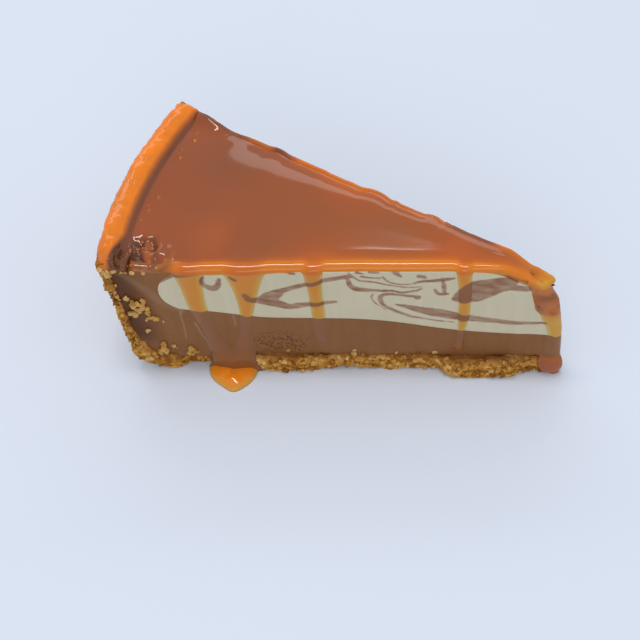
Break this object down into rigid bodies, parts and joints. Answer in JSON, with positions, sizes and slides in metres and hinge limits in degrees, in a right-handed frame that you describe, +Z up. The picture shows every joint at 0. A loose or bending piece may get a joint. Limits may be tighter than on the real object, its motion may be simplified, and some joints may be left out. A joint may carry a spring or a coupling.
{
  "type": "salted caramel cheesecake slice",
  "caption": "Wedge of layered chocolate and vanilla cheesecake on a crumb crust, glazed with caramel that runs down its cut faces; stands on its base as served.",
  "frame": {"origin": "middle of the slice's box, on the surface it rests on", "axes": "+X towards the tip, +Z up, the cut face with the puddle at its foot on the -Y side"},
  "size_m": [0.1279, 0.0657, 0.05],
  "materials": {
    "crumb": "rough golden biscuit crumb",
    "chocolate": "set milk chocolate cheesecake, satin",
    "vanilla": "set vanilla cheesecake marbled with chocolate, satin",
    "caramel": "clear glossy caramel"
  },
  "bodies": {
    "root": {"crumb_crust": "crumb", "chocolate_layer": "chocolate", "vanilla_layer": "vanilla", "caramel": "caramel"}
  },
  "joints": []
}
